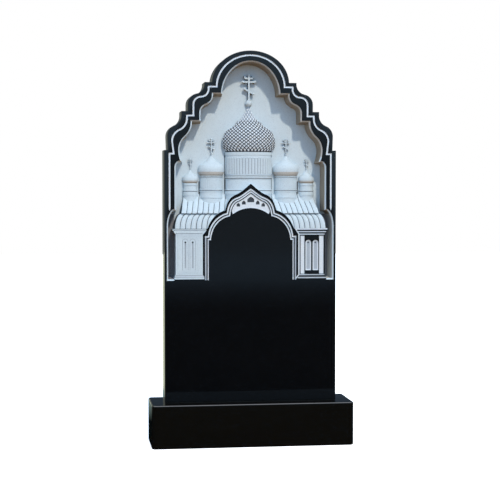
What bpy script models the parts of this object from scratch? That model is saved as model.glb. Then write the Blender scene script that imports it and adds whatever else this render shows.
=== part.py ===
"""Polished black granite headstone: a stele with a carved church in an arched niche, on a plinth.

Metres, +Z up. The front faces -Y and the origin is the middle of the plinth's underside.
Outlines are drawn as half outlines from the centre line outwards, as (x, z) points.
"""

import math

import bmesh
import bpy
from mathutils import Matrix

# Blocks
PLINTH_WIDTH = 0.700
PLINTH_DEPTH = 0.210
PLINTH_HEIGHT = 0.150
PLINTH_ROUNDING = 0.014
STELE_WIDTH = 0.600
STELE_DEPTH = 0.100
STELE_FRONT = -0.025
BED_GAP = 0.0003

# Head of the stele: an arch on two swan-necked steps a side, then a shoulder
EDGE = dict(
    arch_half_width=0.134, arch_spring=1.252, arch_top=1.365,
    upper_ledge=1.255, upper_neck=((0.160, 1.250), (0.218, 1.180)),
    lower_ledge=1.155, lower_neck=((0.240, 1.142), (0.289, 1.070)),
)
SHOULDER = 1.021
SHOULDER_ROOT = 0.2875

# Niche: the same head drawn smaller, with a cusp, a narrow part, and a wider foot
NICHE = dict(
    arch_half_width=0.104, arch_spring=1.210, arch_top=1.328,
    upper_ledge=1.219, upper_neck=((0.135, 1.212), (0.179, 1.150)),
    lower_ledge=1.124, lower_neck=((0.2085, 1.118), (0.252, 1.022)),
)
NICHE_CUSP = (0.2455, 0.985)
NICHE_WAIST = (0.265, 0.963)
NICHE_FOOT_TOP = 0.818
NICHE_FOOT = (0.292, 0.757)
NICHE_BOTTOM = 0.571
NICHE_DEPTH = 0.065
NICHE_CHAMFER = 0.0065
NICHE_DRAFT = math.radians(5)
OVERCUT = 0.004

# Portal: an ogee over a wider arch, its edge and the two lines engraved inside it.
# Each ogee is a hollow curve from the top to the turn and a round one from there to the foot.
PORTAL_EDGE = dict(
    hollow=((0.0, 0.9055), (0.018, 0.8910), (0.034, 0.8745), (0.052, 0.8680)),
    full=((0.052, 0.8680), (0.068, 0.8620), (0.0785, 0.8500), (0.085, 0.8290)),
    arc_centre=(0.070, 0.716), arc_radii=(0.0865, 0.100), shoulder=0.0895, arc_end=0.750,
)
PORTAL_LINES = dict(
    outer=dict(
        hollow=((0.0, 0.8855), (0.012, 0.8795), (0.030, 0.8615), (0.050, 0.8547)),
        full=((0.050, 0.8547), (0.064, 0.8500), (0.0735, 0.8380), (0.0785, 0.8190)),
        arc_centre=(0.066, 0.716), arc_radii=(0.081, 0.088), shoulder=0.082, arc_end=0.722, leg=0.1573,
    ),
    inner=dict(
        hollow=((0.0, 0.8775), (0.012, 0.8710), (0.028, 0.8545), (0.048, 0.8470)),
        full=((0.048, 0.8470), (0.060, 0.8415), (0.0675, 0.8290), (0.0715, 0.8120)),
        arc_centre=(0.062, 0.706), arc_radii=(0.0795, 0.0905), shoulder=0.0745, arc_end=0.713, leg=0.1496,
    ),
)
PORTAL_LINE_WIDTH = 0.0052
TYMPANUM_ARC_TOP = 0.8215
TYMPANUM_FOOT = (0.063, 0.800)
TYMPANUM_BORDER = 0.0055

# Pillars, which keep the face of the slab like the portal
PILLAR_SIDES = (0.1675, 0.261)
CORNICE_STEPS = ((0.261, 0.731), (0.2665, 0.736), (0.2665, 0.7405), (0.2715, 0.7435), (0.2715, 0.750))
FOOTING_STEPS = ((0.2665, 0.578), (0.261, 0.592))
PILLAR_LINES = (0.742, 0.734, 0.584)
WINDOW_CENTRES = (0.2025, 0.228)
WINDOW_WIDTH = 0.020
WINDOW_BOTTOM = 0.605
WINDOW_TOP = 0.710

# The line engraved round the head, between the edge and the niche
HEAD_LINE = dict(
    arch_half_width=0.1185, arch_spring=1.240, arch_top=1.347,
    upper_ledge=1.240, upper_neck=((0.1465, 1.232), (0.1993, 1.178)),
    lower_ledge=1.140, lower_neck=((0.2215, 1.130), (0.273, 1.052)),
)
HEAD_LINE_SHOULDER = ((0.2675, 1.009), (0.282, 1.009))
HEAD_LINE_END = 0.814
HEAD_LINE_WIDTH = 0.007
ENGRAVING_DEPTH = 0.0025

# Roofs: side edge and slope, from the top row to the eave
RIB_PITCH = 0.0186
RIB_RISE = 0.0030
ROOF_INNER_SIDE = 0.030
ROOF_ROWS = 4
UPPER_ROOF = dict(top=0.870, eave=0.8035, back=0.040, front=-0.0205, side=0.242, flare=0.014)
LOWER_ROOF = dict(top=0.801, eave=0.750, back=0.003, front=-0.0205, side=0.2645, flare=0.0245)

# Drums and onion domes, flattened in depth to their relief
FLOOR = STELE_FRONT + NICHE_DEPTH
EMBED = 0.006
DRUMS = dict(
    main=dict(
        x=0.0, radius=0.0815, bottom=0.800, top=1.016, relief=0.045,
        bands=((0.9205, 0.9330), (1.0050, 1.0160)),
    ),
    middle=dict(
        x=0.132, radius=0.0390, bottom=0.820, top=0.934, relief=0.027,
        bands=((0.8560, 0.8600), (0.9260, 0.9340)),
    ),
    outer=dict(
        x=0.2055, radius=0.0245, bottom=0.830, top=0.911, relief=0.018,
        bands=((0.8620, 0.8650), (0.8780, 0.8805)),
    ),
)
BAND_RISE = 0.0020
DOMES = dict(
    main=dict(x=0.0, radius=0.0940, bottom=1.016, height=0.158, relief=0.052, foot=0.0815),
    middle=dict(x=0.132, radius=0.0470, bottom=0.934, height=0.070, relief=0.033, foot=0.0390),
    outer=dict(x=0.2055, radius=0.0290, bottom=0.911, height=0.046, relief=0.022, foot=0.0240),
)
LATTICE_COLUMNS = 40
LATTICE_ROWS = 18
LATTICE_RISE = 0.0022

# Balls and three-barred crosses above the domes, sized by the cross height
CROSSES = dict(
    main=dict(x=0.0, ball=1.187, ball_radius=0.0120, height=0.088),
    middle=dict(x=0.132, ball=1.013, ball_radius=0.0050, height=0.050),
    outer=dict(x=0.2055, ball=0.960, ball_radius=0.0035, height=0.032),
)
CROSS_RELIEF = 0.008

ARC_STEPS = 7
ROUND_COLUMNS = 12
WELD_DISTANCE = 0.00001


def clear_scene():
    for obj in list(bpy.data.objects):
        bpy.data.objects.remove(obj, do_unlink=True)


def new_collection(name):
    collection = bpy.data.collections.new(name)
    bpy.context.scene.collection.children.link(collection)
    return collection


def stone(name, colour, roughness):
    material = bpy.data.materials.new(name)
    material.use_nodes = True
    shader = material.node_tree.nodes["Principled BSDF"]
    shader.inputs["Base Color"].default_value = (*colour, 1)
    shader.inputs["Roughness"].default_value = roughness
    shader.inputs["Metallic"].default_value = 0
    material.diffuse_color = (*colour, 1)
    return material


def object_from(bm, name, collection):
    bmesh.ops.recalc_face_normals(bm, faces=bm.faces[:])
    mesh = bpy.data.meshes.new(name)
    bm.to_mesh(mesh)
    bm.free()
    obj = bpy.data.objects.new(name, mesh)
    collection.objects.link(obj)
    return obj


def as_helper(obj):
    obj.hide_render = True
    obj.display_type = "WIRE"
    return obj


def boolean(obj, name, operation, operand):
    modifier = obj.modifiers.new(name, "BOOLEAN")
    modifier.operation = operation
    modifier.solver = "EXACT"
    if isinstance(operand, bpy.types.Collection):
        modifier.operand_type = "COLLECTION"
        modifier.collection = operand
    else:
        modifier.object = operand


def arc(centre, radii, start, end, steps=ARC_STEPS):
    """Points on an ellipse between two angles in degrees, both ends included."""
    points = []
    for i in range(steps + 1):
        angle = math.radians(start + (end - start) * i / steps)
        points.append((centre[0] + radii[0] * math.cos(angle), centre[1] + radii[1] * math.sin(angle)))
    return points


def bezier(p0, p1, p2, p3, steps=ARC_STEPS):
    points = []
    for i in range(steps + 1):
        t = i / steps
        weights = ((1 - t) ** 3, 3 * t * (1 - t) ** 2, 3 * t * t * (1 - t), t**3)
        points.append(tuple(sum(w * p[k] for w, p in zip(weights, (p0, p1, p2, p3))) for k in (0, 1)))
    return points


def swan_neck(start, end, steps=ARC_STEPS):
    """An S between two points, without its start: a hollow arc, then a round one of the same radius."""
    across = end[0] - start[0]
    down = start[1] - end[1]
    turn = 2 * math.atan2(across, down)
    radius = down / math.sin(turn) / 2
    hollow = []
    full = []
    for i in range(steps + 1):
        angle = turn * i / steps
        hollow.append((start[0] + radius * (1 - math.cos(angle)), start[1] - radius * math.sin(angle)))
        full.append((end[0] - radius * (1 - math.cos(angle)), end[1] + radius * math.sin(angle)))
    return hollow[1:-1] + full[::-1]


def head(shape):
    """Half outline of the arch and its two steps, from the crown to the end of the lower swan neck."""
    rise = shape["arch_top"] - shape["arch_spring"]
    spring_angle = math.degrees(math.asin((shape["upper_ledge"] - shape["arch_spring"]) / rise))
    crown = arc((0, shape["arch_spring"]), (shape["arch_half_width"], rise), 90, spring_angle, 2 * ARC_STEPS)
    upper_start, upper_end = shape["upper_neck"]
    lower_start, lower_end = shape["lower_neck"]
    return (
        crown
        + [(upper_start[0], shape["upper_ledge"])]
        + swan_neck(upper_start, upper_end)
        + [(upper_end[0], shape["lower_ledge"]), (lower_start[0], shape["lower_ledge"])]
        + swan_neck(lower_start, lower_end)
    )


def mirrored(half):
    """The closed outline of a half outline whose first point is on the centre line."""
    return half + [(-x, z) for x, z in reversed(half[1:])]


def both_sides(half):
    """The open path of a half outline: up from its left end, over the centre line, down to its right end."""
    return [(-x, z) for x, z in reversed(half[1:])] + half


def moved_right(before, point, after, distance):
    """The mitred corner of a path moved to the right of its way."""
    normals = []
    for start, end in ((before, point), (point, after)):
        length = math.dist(start, end)
        if length:
            normals.append(((end[1] - start[1]) / length, -(end[0] - start[0]) / length))
    (ax, az), (bx, bz) = normals[0], normals[-1]
    scale = distance / (1 + ax * bx + az * bz)
    return (point[0] + (ax + bx) * scale, point[1] + (az + bz) * scale)


def inset(outline, distance):
    """The closed outline, which runs clockwise seen from the front, moved inwards."""
    following = outline[1:] + outline[:1]
    return [moved_right(outline[i - 1], p, q, distance) for i, (p, q) in enumerate(zip(outline, following))]


def offset_path(path, distance):
    """The open path moved to the right of its way."""
    before = path[:1] + path[:-1]
    after = path[1:] + path[-1:]
    return [moved_right(a, p, b, distance) for a, p, b in zip(before, path, after)]


def stroke(path, width):
    """The closed outline of a line of this width along an open path."""
    return offset_path(path, width / 2) + offset_path(path, -width / 2)[::-1]


def loft(name, rings, collection):
    """A closed solid through rings of equal length, each an outline and its depth y."""
    bm = bmesh.new()
    loops = [[bm.verts.new((x, y, z)) for x, z in outline] for outline, y in rings]
    for near, far in zip(loops, loops[1:]):
        for i in range(len(near)):
            j = (i + 1) % len(near)
            bm.faces.new((near[i], near[j], far[j], far[i]))
    bm.faces.new(loops[0])
    bm.faces.new(loops[-1])
    return object_from(bm, name, collection)


def upright_prism(name, outline, front, back, collection):
    """A flat outline standing up, as a mesh: a filled 2D curve turned to face the front."""
    curve = bpy.data.curves.new(name, "CURVE")
    curve.dimensions = "2D"
    curve.fill_mode = "BOTH"
    curve.extrude = (back - front) / 2
    spline = curve.splines.new("POLY")
    spline.points.add(len(outline) - 1)
    for point, (x, z) in zip(spline.points, outline):
        point.co = (x, z, 0, 1)
    spline.use_cyclic_u = True
    guide = bpy.data.objects.new(name + "_curve", curve)
    guide.matrix_world = Matrix.Translation((0, (front + back) / 2, 0)) @ Matrix.Rotation(math.pi / 2, 4, "X")
    collection.objects.link(guide)
    bpy.context.view_layer.update()
    mesh = bpy.data.meshes.new_from_object(guide.evaluated_get(bpy.context.evaluated_depsgraph_get()))
    mesh.transform(guide.matrix_world)
    bpy.data.objects.remove(guide)
    bm = bmesh.new()
    bm.from_mesh(mesh)
    bpy.data.meshes.remove(mesh)
    bmesh.ops.remove_doubles(bm, verts=bm.verts[:], dist=WELD_DISTANCE)
    return object_from(bm, name, collection)


def sheet(name, columns, rows, place, is_groove, collection):
    """A relief form: a grid laid by place(column, row), its rim carried back into the stone and capped."""
    bm = bmesh.new()
    bmesh.ops.create_grid(bm, x_segments=columns, y_segments=rows, size=1)
    grooves = []
    for vert in bm.verts:
        column = round((vert.co.x + 1) / 2 * columns)
        row = round((vert.co.y + 1) / 2 * rows)
        vert.co = place(column, row)
        if is_groove(column, row):
            grooves.append(vert)
    bmesh.ops.connect_verts(bm, verts=grooves)
    rim = [edge for edge in bm.edges if edge.is_boundary]
    moved = bmesh.ops.extrude_edge_only(bm, edges=rim)["geom"]
    for vert in moved:
        if isinstance(vert, bmesh.types.BMVert):
            vert.co.y = FLOOR + EMBED
    back_edges = [edge for edge in bm.edges if edge.is_boundary]
    bmesh.ops.holes_fill(bm, edges=back_edges, sides=0)
    return object_from(bm, name, collection)


def no_groove(_column, _row):
    return False


def half_round(centre, relief_ratio, radius, z, turn):
    """A point on a flattened half cylinder. turn runs from 0 at the right side to 1 at the left."""
    angle = math.pi * turn
    return (centre + radius * math.cos(angle), FLOOR - relief_ratio * radius * math.sin(angle), z)


def drum(name, side, shape, collection):
    """A flattened half cylinder with square raised bands."""
    wall = shape["radius"]
    profile = [(wall, shape["bottom"])]
    for low, high in shape["bands"]:
        profile += [(wall, low), (wall + BAND_RISE, low), (wall + BAND_RISE, high)]
        if high < shape["top"]:
            profile.append((wall, high))
    if profile[-1][1] < shape["top"]:
        profile.append((wall, shape["top"]))
    ratio = shape["relief"] / wall

    def place(column, row):
        radius, z = profile[row]
        return half_round(side * shape["x"], ratio, radius, z, column / ROUND_COLUMNS)

    return sheet(name, ROUND_COLUMNS, len(profile) - 1, place, no_groove, collection)


def onion(shape, steps):
    """Radius and height of an onion dome: out from its foot, round the belly, and up in a hollow sweep."""
    radius, bottom, height = shape["radius"], shape["bottom"], shape["height"]
    belly = bottom + 0.21 * height
    turn = (0.80 * radius, bottom + 0.49 * height)
    tip = (0.05 * radius, bottom + height)
    low = bezier((shape["foot"], bottom), (0.94 * radius, bottom + 0.05 * height),
                 (radius, belly - 0.09 * height), (radius, belly), steps)
    middle = bezier((radius, belly), (radius, belly + 0.12 * height),
                    (0.93 * radius, turn[1] - 0.08 * height), turn, steps)
    upper = bezier(turn, (0.46 * radius, bottom + 0.62 * height),
                   (0.22 * radius, bottom + 0.80 * height), tip, steps)
    return low[:-1] + middle[:-1] + upper


def even_rows(profile, rows):
    """The profile at rows whose height shrinks with the radius, as crossing spirals need."""
    travel = [0.0]
    for (r0, z0), (r1, z1) in zip(profile, profile[1:]):
        travel.append(travel[-1] + math.hypot(r1 - r0, z1 - z0) / max(0.5 * (r0 + r1), 0.35 * profile[0][0]))
    points = []
    for row in range(rows + 1):
        wanted = travel[-1] * row / rows
        i = min(next((k for k, far in enumerate(travel) if far >= wanted), len(travel) - 1), len(travel) - 1)
        i = max(i, 1)
        share = (wanted - travel[i - 1]) / (travel[i] - travel[i - 1])
        (r0, z0), (r1, z1) = profile[i - 1], profile[i]
        points.append((r0 + (r1 - r0) * share, z0 + (z1 - z0) * share))
    return points


def plain_dome(name, side, shape, collection):
    profile = onion(shape, 3)
    ratio = shape["relief"] / shape["radius"]

    def place(column, row):
        radius, z = profile[row]
        return half_round(side * shape["x"], ratio, radius, z, column / ROUND_COLUMNS)

    return sheet(name, ROUND_COLUMNS, len(profile) - 1, place, no_groove, collection)


def lattice_dome(name, shape, collection):
    """The main dome, in diamond points between two families of crossing grooves."""
    profile = even_rows(onion(shape, 10), LATTICE_ROWS)
    ratio = shape["relief"] / shape["radius"]

    def is_groove(column, row):
        return (column + row) % 2 == 0

    def place(column, row):
        radius, z = profile[row]
        inside = 0 < row < LATTICE_ROWS and 0 < column < LATTICE_COLUMNS
        if inside and not is_groove(column, row):
            radius += LATTICE_RISE * min(1, radius / (0.3 * shape["radius"]))
        return half_round(shape["x"], ratio, radius, z, column / LATTICE_COLUMNS)

    return sheet(name, LATTICE_COLUMNS, LATTICE_ROWS, place, is_groove, collection)


def upper_slope(shape, t):
    """Depth, height and flare of the upper roof: hollow at the top, turning down at the eave."""
    depth, z = bezier(
        (shape["back"], shape["top"]), (shape["back"] - 0.004, shape["top"] - 0.032),
        (shape["front"] + 0.006, shape["eave"] + 0.027), (shape["front"], shape["eave"]), 100,
    )[round(100 * t)]
    return depth, z, (shape["top"] - z) / (shape["top"] - shape["eave"])


def lower_slope(shape, t):
    """Depth, height and flare of the lower roof: a quarter round."""
    angle = math.pi / 2 * t
    depth = shape["back"] + (shape["front"] - shape["back"]) * math.sin(angle)
    z = shape["eave"] + (shape["top"] - shape["eave"]) * math.cos(angle)
    return depth, z, math.sin(angle)


def ribbed_roof(name, side, shape, slope, rows, collection):
    """Round-backed ribs side by side, all bent alike, from the side edge to inside the portal block."""
    ribs = math.ceil((shape["side"] - ROOF_INNER_SIDE) / RIB_PITCH)
    cuts = (0.0, 0.16, 0.5, 0.84)
    columns = ribs * len(cuts)

    def place(column, row):
        rib, cut = divmod(column, len(cuts))
        across = cuts[cut]
        depth, z, spread = slope(shape, 1 - row / rows)
        x = shape["side"] - RIB_PITCH * (rib + across) - shape["flare"] * (1 - spread)
        rise = RIB_RISE * math.sin(math.pi * across) ** 0.5 if cut else 0
        return (side * x, depth - rise, z)

    return sheet(name, columns, rows, place, no_groove, collection)


def tapered_bar(start, end, waist, flare):
    """Outline of a cross arm between two points, narrow in the middle and wider at its ends."""
    length = math.dist(start, end)
    along = ((end[0] - start[0]) / length, (end[1] - start[1]) / length)
    across = (-along[1], along[0])
    sides = [(0.0, flare), (0.2, waist), (0.8, waist), (1.0, flare)]
    outline = []
    for stations, sign in ((sides, 1), (sides[::-1], -1)):
        for share, half in stations:
            reach = length * share
            offset = sign * half
            outline.append(tuple(start[k] + along[k] * reach + across[k] * offset for k in (0, 1)))
    return outline


def cross(name, side, shape, collection):
    """A ball and a three-barred cross, its foot bar slanting down to the right."""
    x = side * shape["x"]
    foot = shape["ball"] + 0.7 * shape["ball_radius"]
    height = shape["height"]
    waist = 0.045 * height
    bars = dict(
        shaft=((x, foot), (x, foot + height), 1.4),
        title=((x - 0.15 * height, foot + 0.87 * height), (x + 0.15 * height, foot + 0.87 * height), 1.0),
        arms=((x - 0.26 * height, foot + 0.70 * height), (x + 0.26 * height, foot + 0.70 * height), 1.8),
        rest=((x - 0.17 * height, foot + 0.44 * height), (x + 0.17 * height, foot + 0.23 * height), 1.0),
    )
    for step, (part, (start, end, flare)) in enumerate(bars.items()):
        front = FLOOR - CROSS_RELIEF + 0.0004 * step
        outline = tapered_bar(start, end, waist, flare * waist)
        as_helper(upright_prism(f"{name}_{part}", outline, front, FLOOR + EMBED, collection))
    ball = bmesh.new()
    bmesh.ops.create_uvsphere(ball, u_segments=12, v_segments=8, radius=shape["ball_radius"])
    bmesh.ops.translate(ball, verts=ball.verts[:], vec=(x, FLOOR - 0.3 * shape["ball_radius"], shape["ball"]))
    as_helper(object_from(ball, name + "_ball", collection))


def ogee(shape):
    return bezier(*shape["hollow"], 5) + bezier(*shape["full"], 5)[1:]


def portal_curve(shape):
    """Half path of a portal line: the ogee, its shoulder, and the wider arch down to its end."""
    centre, radii = shape["arc_centre"], shape["arc_radii"]
    start = math.degrees(math.acos((shape["shoulder"] - centre[0]) / radii[0]))
    end = math.degrees(math.asin((shape["arc_end"] - centre[1]) / radii[1]))
    return ogee(shape) + arc(centre, radii, start, end)


def front_block():
    """Outline of what keeps the slab's face inside the niche: the portal, the pillars and their steps."""
    below = NICHE_BOTTOM - 2 * OVERCUT
    side = list(reversed(CORNICE_STEPS)) + list(reversed(FOOTING_STEPS)) + [(FOOTING_STEPS[0][0], below)]
    return mirrored(portal_curve(PORTAL_EDGE) + side)


def niche_outline():
    half = head(NICHE)
    lobe_end = NICHE["lower_neck"][1]
    across = lobe_end[0] - NICHE_CUSP[0]
    down = lobe_end[1] - NICHE_CUSP[1]
    radius = (across**2 + down**2) / (2 * across)
    tuck = math.degrees(math.asin(down / radius))
    half += arc((lobe_end[0] - radius, lobe_end[1]), (radius, radius), 0, -tuck, 5)[1:]
    waist_radii = (NICHE_WAIST[0] - NICHE_CUSP[0], NICHE_CUSP[1] - NICHE_WAIST[1])
    half += arc((NICHE_CUSP[0], NICHE_WAIST[1]), waist_radii, 90, 0, 6)[1:]
    foot_radii = (NICHE_FOOT[0] - NICHE_WAIST[0], NICHE_FOOT_TOP - NICHE_FOOT[1])
    half += arc((NICHE_WAIST[0], NICHE_FOOT[1]), foot_radii, 90, 0)
    half.append((NICHE_FOOT[0], NICHE_BOTTOM))
    return mirrored(half)


def niche_cutter(collection):
    """The hollow round the church, chamfered and drafted to its floor, less what stays at the face."""
    outline = niche_outline()
    slope = NICHE_DEPTH - NICHE_CHAMFER
    rings = (
        (inset(outline, -OVERCUT), STELE_FRONT - OVERCUT),
        (inset(outline, NICHE_CHAMFER), STELE_FRONT + NICHE_CHAMFER),
        (inset(outline, NICHE_CHAMFER + slope * math.tan(NICHE_DRAFT)), FLOOR),
    )
    cutter = as_helper(loft("niche_cutter", rings, collection))
    kept = upright_prism("kept_face", front_block(), STELE_FRONT - 2 * OVERCUT, FLOOR + OVERCUT, collection)
    boolean(cutter, "keep portal and pillars", "DIFFERENCE", as_helper(kept))
    return cutter


def engrave(name, outline, collection):
    bottom = STELE_FRONT + ENGRAVING_DEPTH
    as_helper(upright_prism(name, outline, STELE_FRONT - OVERCUT, bottom, collection))


def engrave_lines(collection):
    """The line round the head and the two round the portal, which step outwards above their legs."""
    head_path = head(HEAD_LINE) + list(HEAD_LINE_SHOULDER) + [(HEAD_LINE_SHOULDER[1][0], HEAD_LINE_END)]
    engrave("head_line", stroke(both_sides(head_path), HEAD_LINE_WIDTH), collection)
    for which, shape in PORTAL_LINES.items():
        leg = [(shape["leg"], shape["arc_end"]), (shape["leg"], NICHE_BOTTOM)]
        path = both_sides(portal_curve(shape) + leg)
        engrave(which + "_portal_line", stroke(path, PORTAL_LINE_WIDTH), collection)


def engrave_tympanum(collection):
    """The sunk field between the inner portal line and a low arch."""
    top = offset_path(both_sides(ogee(PORTAL_LINES["inner"])), TYMPANUM_BORDER)
    half_chord, rise = TYMPANUM_FOOT[0], TYMPANUM_ARC_TOP - TYMPANUM_FOOT[1]
    radius = (half_chord**2 + rise**2) / (2 * rise)
    spread = math.degrees(math.asin(half_chord / radius))
    low_arch = arc((0, TYMPANUM_ARC_TOP - radius), (radius, radius), 90 - spread, 90 + spread)
    engrave("tympanum", top + low_arch, collection)


def engrave_pillar(hand, side, collection):
    inner, outer = PILLAR_SIDES
    radius = WINDOW_WIDTH / 2
    for number, centre in enumerate(WINDOW_CENTRES, 1):
        window = arc((side * centre, WINDOW_TOP - radius), (radius, radius), 180, 0)
        window += [(side * centre + radius, WINDOW_BOTTOM), (side * centre - radius, WINDOW_BOTTOM)]
        engrave(f"{hand}_window_{number}", window, collection)
    for number, z in enumerate(PILLAR_LINES, 1):
        path = [(side * inner, z), (side * (outer - ENGRAVING_DEPTH), z)]
        engrave(f"{hand}_pillar_line_{number}", stroke(path, ENGRAVING_DEPTH), collection)


def carve_church(collection):
    as_helper(lattice_dome("main_dome", DOMES["main"], collection))
    as_helper(drum("main_drum", 1, DRUMS["main"], collection))
    cross("main_cross", 1, CROSSES["main"], collection)
    for side, hand in ((-1, "left"), (1, "right")):
        for size in ("middle", "outer"):
            as_helper(drum(f"{hand}_{size}_drum", side, DRUMS[size], collection))
            as_helper(plain_dome(f"{hand}_{size}_dome", side, DOMES[size], collection))
            cross(f"{hand}_{size}_cross", side, CROSSES[size], collection)
        as_helper(ribbed_roof(f"{hand}_upper_roof", side, UPPER_ROOF, upper_slope, ROOF_ROWS, collection))
        as_helper(ribbed_roof(f"{hand}_lower_roof", side, LOWER_ROOF, lower_slope, ROOF_ROWS, collection))


def make_stele(parts, cutters, engraving, relief, material):
    bottom = PLINTH_HEIGHT + BED_GAP
    half = head(EDGE) + [(SHOULDER_ROOT, SHOULDER), (STELE_WIDTH / 2, SHOULDER), (STELE_WIDTH / 2, bottom)]
    stele = upright_prism("stele", mirrored(half), STELE_FRONT, STELE_FRONT + STELE_DEPTH, parts)
    stele.data.materials.append(material)
    boolean(stele, "niche", "DIFFERENCE", niche_cutter(cutters))
    engrave_lines(engraving)
    engrave_tympanum(engraving)
    for side, hand in ((-1, "left"), (1, "right")):
        engrave_pillar(hand, side, engraving)
    boolean(stele, "engraving", "DIFFERENCE", engraving)
    carve_church(relief)
    boolean(stele, "church", "UNION", relief)
    return stele


def make_plinth(parts, material):
    bm = bmesh.new()
    bmesh.ops.create_cube(bm, size=1)
    bmesh.ops.scale(bm, verts=bm.verts[:], vec=(PLINTH_WIDTH, PLINTH_DEPTH, PLINTH_HEIGHT))
    plinth = object_from(bm, "plinth", parts)
    plinth.location.z = PLINTH_HEIGHT / 2
    plinth.data.materials.append(material)
    rounding = plinth.modifiers.new("rounded edges", "BEVEL")
    rounding.width = PLINTH_ROUNDING
    rounding.segments = 4
    return plinth


def main():
    clear_scene()
    parts = new_collection("headstone")
    cutters = new_collection("headstone cutters")
    engraving = new_collection("headstone engraving cutters")
    relief = new_collection("headstone relief")
    granite = stone("polished black granite", (0.012, 0.014, 0.017), 0.08)
    make_stele(parts, cutters, engraving, relief, granite)
    make_plinth(parts, stone("black granite plinth", (0.012, 0.013, 0.014), 0.12))


main()
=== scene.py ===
import math

import bmesh
import bpy
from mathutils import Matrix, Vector


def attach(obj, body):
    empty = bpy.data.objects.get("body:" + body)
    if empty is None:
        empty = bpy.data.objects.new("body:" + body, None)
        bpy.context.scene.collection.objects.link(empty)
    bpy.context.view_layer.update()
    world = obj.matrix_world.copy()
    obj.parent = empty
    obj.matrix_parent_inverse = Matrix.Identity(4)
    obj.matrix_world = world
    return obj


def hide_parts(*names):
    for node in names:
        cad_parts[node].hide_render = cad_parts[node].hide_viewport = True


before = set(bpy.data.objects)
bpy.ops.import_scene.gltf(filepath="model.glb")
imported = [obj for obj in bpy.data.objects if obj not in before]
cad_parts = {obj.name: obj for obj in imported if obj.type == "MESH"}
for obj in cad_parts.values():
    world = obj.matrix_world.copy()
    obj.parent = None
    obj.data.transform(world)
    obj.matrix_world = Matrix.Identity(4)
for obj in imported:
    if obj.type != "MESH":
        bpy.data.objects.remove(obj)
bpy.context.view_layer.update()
print("frame loaded:", sorted(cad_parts))

# Metres, +Z up, the carved face looks along -Y.
# Symmetrical outlines are drawn as halves, from the centre line outwards, as (x, z) points.


# Colours and nodes

def toLinear(hexColour):
    linear = []
    for i in (1, 3, 5):
        value = int(hexColour[i:i + 2], 16) / 255
        linear.append(value / 12.92 if value <= 0.04045 else ((value + 0.055) / 1.055) ** 2.4)
    return (*linear, 1.0)


def addNode(tree, kind, settings=None, inputs=None):
    node = tree.nodes.new(kind)
    for key, value in (settings or {}).items():
        setattr(node, key, value)
    for key, value in (inputs or {}).items():
        if isinstance(value, bpy.types.NodeSocket):
            tree.links.new(value, node.inputs[key])
        else:
            node.inputs[key].default_value = value
    return node


def newMaterial(name):
    material = bpy.data.materials.new(name)
    material.use_nodes = True
    tree = material.node_tree
    return material, tree, tree.nodes["Principled BSDF"]


def mixColours(tree, factor, low, high):
    # low and high are hex colours or sockets
    low, high = (toLinear(colour) if isinstance(colour, str) else colour for colour in (low, high))
    return addNode(tree, "ShaderNodeMix", dict(data_type="RGBA"), {0: factor, 6: low, 7: high}).outputs[2]


def ramp(tree, value, low, high):
    # 0 below low and 1 above high
    limits = {"Value": value, "From Min": low, "From Max": high}
    return addNode(tree, "ShaderNodeMapRange", None, limits).outputs[0]


def combine(tree, operation, *values):
    settings = dict(operation=operation)
    return addNode(tree, "ShaderNodeMath", settings, dict(enumerate(values))).outputs[0]


def grains(tree, coordinates, size, low, high):
    # one random value for each crystal, ramped from low to high
    cells = addNode(tree, "ShaderNodeTexVoronoi", None, {"Vector": coordinates, "Scale": 1 / size})
    value = addNode(tree, "ShaderNodeSeparateColor", None, {"Color": cells.outputs["Color"]})
    return ramp(tree, value.outputs[0], low, high)


def clouds(tree, coordinates, size, detail=3.0):
    inputs = {"Vector": coordinates, "Scale": 1 / size, "Detail": detail}
    return addNode(tree, "ShaderNodeTexNoise", None, inputs).outputs[0]


graniteIor = 1.52
blackGranite = dict(
    ground="#08090b", cloud="#0c0d0f", fleck="#14181c", cloudSize=0.05, crystal=0.0025,
    flecks=(0.93, 0.97), patchSize=0.012, roughness=(0.055, 0.105),
)


def makePolishedGranite(name, look):
    # black granite, diamond polished: deep black with sparse grey crystals under a mirror gloss
    material, tree, shader = newMaterial(name)
    place = addNode(tree, "ShaderNodeTexCoord").outputs["Object"]
    ground = mixColours(tree, clouds(tree, place, look["cloudSize"]), look["ground"], look["cloud"])
    flecks = grains(tree, place, look["crystal"], *look["flecks"])
    colour = mixColours(tree, flecks, ground, look["fleck"])
    tree.links.new(colour, shader.inputs["Base Color"])
    least, most = look["roughness"]
    polish = {"Value": clouds(tree, place, look["patchSize"]), "To Min": least, "To Max": most}
    roughness = addNode(tree, "ShaderNodeMapRange", None, polish)
    tree.links.new(roughness.outputs[0], shader.inputs["Roughness"])
    shader.inputs["IOR"].default_value = graniteIor
    return material


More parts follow.
